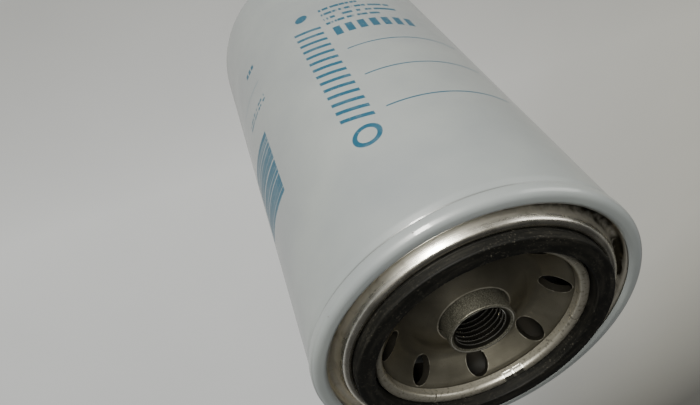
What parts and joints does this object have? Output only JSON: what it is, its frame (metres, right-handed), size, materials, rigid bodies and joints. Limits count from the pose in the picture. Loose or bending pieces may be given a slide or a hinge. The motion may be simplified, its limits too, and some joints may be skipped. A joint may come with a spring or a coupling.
{
  "type": "fuel filter",
  "caption": "Spin-on fuel filter: drawn steel can with rolled seam, square-section gasket, dished plate with inlet holes and threaded hub, spring-loaded pleated element inside.",
  "frame": {"origin": "centre of the closed end, on the surface that the filter stands on", "axes": "+Z along the can's axis, out of the threaded mouth; the inlet holes lie at 0, 45, 90 degrees and so on about Z, counted from +X"},
  "size_m": [0.0938, 0.0938, 0.178],
  "materials": {
    "white_paint": "semi-gloss",
    "tinplate": "bright drawn",
    "grey_steel": "dull pressed",
    "dark_steel": "dark sintered",
    "black_rubber": "matte",
    "spring_steel": "drawn wire",
    "zinc_steel": "zinc plated",
    "filter_paper": "resin-treated paper",
    "plastisol": "cast",
    "adhesive": "hot-melt",
    "grey_compound": "matte"
  },
  "bodies": {
    "housing": {"can_shell": "white_paint", "seam_compound": "grey_compound", "gasket_retainer": "tinplate", "main_gasket": "black_rubber", "base_plate": "grey_steel", "threaded_hub": "dark_steel", "spring_seat": "zinc_steel", "coil_spring": "spring_steel"},
    "element": {"element_grommet": "black_rubber", "top_end_cap": "zinc_steel", "top_potting": "plastisol", "pleated_media": "filter_paper", "media_seam_clip": "zinc_steel", "centre_tube": "zinc_steel", "bottom_potting": "plastisol", "bottom_end_cap": "zinc_steel", "pleat_band_1": "adhesive", "pleat_band_2": "adhesive", "pleat_band_3": "adhesive", "pleat_band_4": "adhesive"}
  },
  "joints": [
    {"name": "element_slide", "type": "slide", "parent": "housing", "child": "element", "axis": [0, 0, 1], "range_m": [-0.004, 0], "stiffness_N_per_m": 4000, "springref_m": 0.01, "deforming": ["coil_spring"]}
  ]
}
